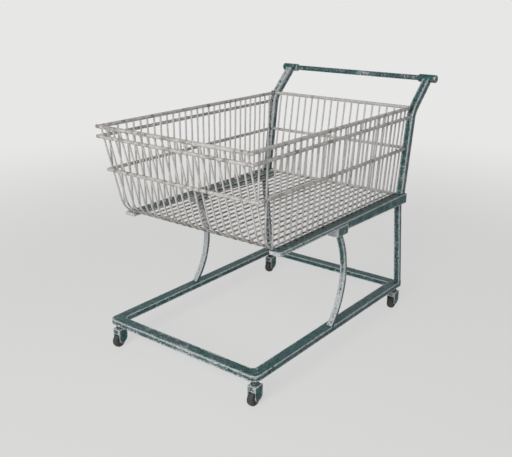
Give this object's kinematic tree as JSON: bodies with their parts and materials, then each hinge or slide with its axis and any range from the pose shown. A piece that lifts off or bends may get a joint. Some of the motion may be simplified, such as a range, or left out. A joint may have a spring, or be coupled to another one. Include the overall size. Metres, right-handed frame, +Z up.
{
  "type": "shopping cart",
  "caption": "Worn wire shopping cart: open grille basket on a painted tube frame with a push bar and swivel casters.",
  "frame": {"origin": "on the ground under the middle of the cart's length and width", "axes": "+Z up, +Y from the basket's front towards the push bar, +X to the right seen from the front of the cart looking along +Y"},
  "size_m": [0.7186, 1.1113, 0.9237],
  "materials": {
    "frame_paint": "worn, chipped to pale metal at the edges",
    "basket_wire": "dull, weathered",
    "caster_paint": "worn, pale edges",
    "caster_steel": "dark, grimy",
    "wheel_core": "matte",
    "wheel_rubber": "matte, scuffed"
  },
  "bodies": {
    "cart": {"chassis_tube": "frame_paint", "chassis_rear_bar": "frame_paint", "rail_right": "frame_paint", "rail_left": "frame_paint", "strut_bracket_right": "frame_paint", "strut_bracket_left": "frame_paint", "strut_right": "frame_paint", "strut_left": "frame_paint", "rear_post_right": "frame_paint", "rear_post_left": "frame_paint", "upright_right": "frame_paint", "upright_left": "frame_paint", "push_bar": "frame_paint", "bar_socket_right": "frame_paint", "bar_socket_left": "frame_paint", "bar_end_cap_right": "frame_paint", "bar_end_cap_left": "frame_paint", "side_wall_right": "basket_wire", "side_wall_left": "basket_wire", "front_wall": "basket_wire", "floor_lengthwise": "basket_wire", "rear_wall": "basket_wire", "upper_rod_front": "basket_wire", "upper_rod_right": "basket_wire", "upper_rod_left": "basket_wire", "lower_rod_front": "basket_wire", "lower_rod_right": "basket_wire", "lower_rod_left": "basket_wire", "caster_front_right_kingpin": "caster_steel", "caster_front_left_kingpin": "caster_steel", "caster_rear_right_kingpin": "caster_steel", "caster_rear_left_kingpin": "caster_steel"},
    "caster_front_right_swivel": {"caster_front_right_fork": "caster_paint", "caster_front_right_axle": "caster_steel"},
    "caster_front_right_roller": {"caster_front_right_wheel": "wheel_core", "caster_front_right_tyre": "wheel_rubber"},
    "caster_front_left_swivel": {"caster_front_left_fork": "caster_paint", "caster_front_left_axle": "caster_steel"},
    "caster_front_left_roller": {"caster_front_left_wheel": "wheel_core", "caster_front_left_tyre": "wheel_rubber"},
    "caster_rear_right_swivel": {"caster_rear_right_fork": "caster_paint", "caster_rear_right_axle": "caster_steel"},
    "caster_rear_right_roller": {"caster_rear_right_wheel": "wheel_core", "caster_rear_right_tyre": "wheel_rubber"},
    "caster_rear_left_swivel": {"caster_rear_left_fork": "caster_paint", "caster_rear_left_axle": "caster_steel"},
    "caster_rear_left_roller": {"caster_rear_left_wheel": "wheel_core", "caster_rear_left_tyre": "wheel_rubber"}
  },
  "joints": [
    {"name": "caster_front_right_turn", "type": "hinge", "parent": "cart", "child": "caster_front_right_swivel", "pos_m": [0.312, -0.5221, 0.071], "axis": [0, 0, 1], "continuous": true},
    {"name": "caster_front_right_roll", "type": "hinge", "parent": "caster_front_right_swivel", "child": "caster_front_right_roller", "pos_m": [0.312, -0.5306, 0.0245], "axis": [1, 0, 0], "continuous": true},
    {"name": "caster_front_left_turn", "type": "hinge", "parent": "cart", "child": "caster_front_left_swivel", "pos_m": [-0.312, -0.5221, 0.071], "axis": [0, 0, 1], "continuous": true},
    {"name": "caster_front_left_roll", "type": "hinge", "parent": "caster_front_left_swivel", "child": "caster_front_left_roller", "pos_m": [-0.312, -0.5306, 0.0245], "axis": [1, 0, 0], "continuous": true},
    {"name": "caster_rear_right_turn", "type": "hinge", "parent": "cart", "child": "caster_rear_right_swivel", "pos_m": [0.312, 0.388, 0.071], "axis": [0, 0, 1], "continuous": true},
    {"name": "caster_rear_right_roll", "type": "hinge", "parent": "caster_rear_right_swivel", "child": "caster_rear_right_roller", "pos_m": [0.312, 0.3795, 0.0245], "axis": [1, 0, 0], "continuous": true},
    {"name": "caster_rear_left_turn", "type": "hinge", "parent": "cart", "child": "caster_rear_left_swivel", "pos_m": [-0.312, 0.388, 0.071], "axis": [0, 0, 1], "continuous": true},
    {"name": "caster_rear_left_roll", "type": "hinge", "parent": "caster_rear_left_swivel", "child": "caster_rear_left_roller", "pos_m": [-0.312, 0.3795, 0.0245], "axis": [1, 0, 0], "continuous": true}
  ]
}
